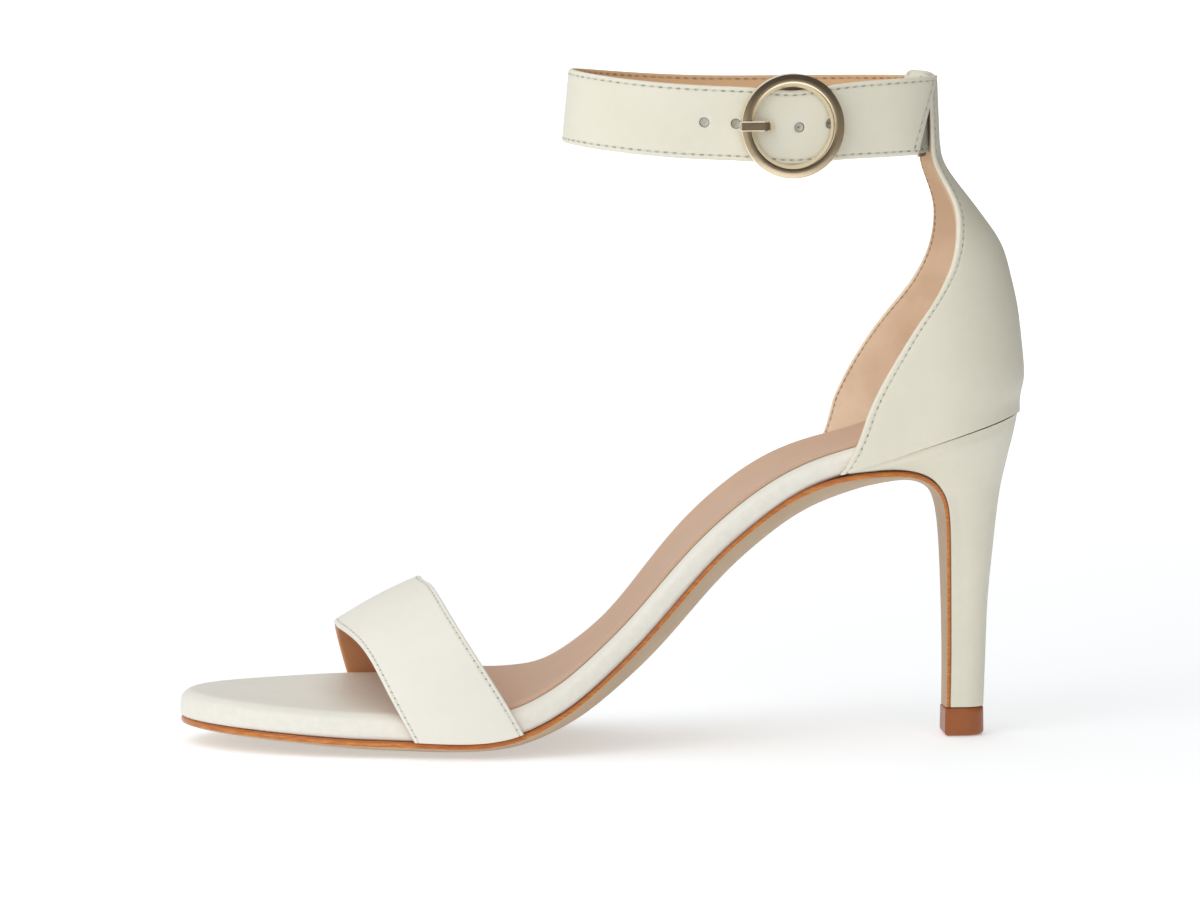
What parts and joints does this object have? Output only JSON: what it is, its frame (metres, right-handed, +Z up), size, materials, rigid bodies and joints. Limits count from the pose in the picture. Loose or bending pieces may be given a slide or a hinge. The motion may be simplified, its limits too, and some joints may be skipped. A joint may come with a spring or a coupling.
{
  "type": "stiletto sandal",
  "caption": "Left high-heeled leather sandal with a broad toe strap, closed heel counter, buckled ankle strap and slim covered heel.",
  "frame": {"origin": "on the floor, under the middle of the shoe's box", "axes": "+X from the toe to the heel, +Y to the inner side of the foot (the buckle is on the outer side, -Y), +Z up"},
  "size_m": [0.2274, 0.0802, 0.1807],
  "materials": {
    "upper_leather": "smooth cream leather, satin",
    "lining_leather": "matt taupe lining leather",
    "sole_leather": "brown painted edge, tan underside",
    "tip_plastic": "brown, satin",
    "buckle_metal": "polished pale gold plating"
  },
  "bodies": {
    "root": {"outsole": "sole_leather", "insole_board": "upper_leather", "sock": "lining_leather", "heel": "upper_leather", "heel_tip": "tip_plastic", "vamp_strap": "upper_leather", "counter": "upper_leather", "ankle_strap": "upper_leather", "buckle_ring": "buckle_metal", "buckle_prong": "buckle_metal"}
  },
  "joints": []
}
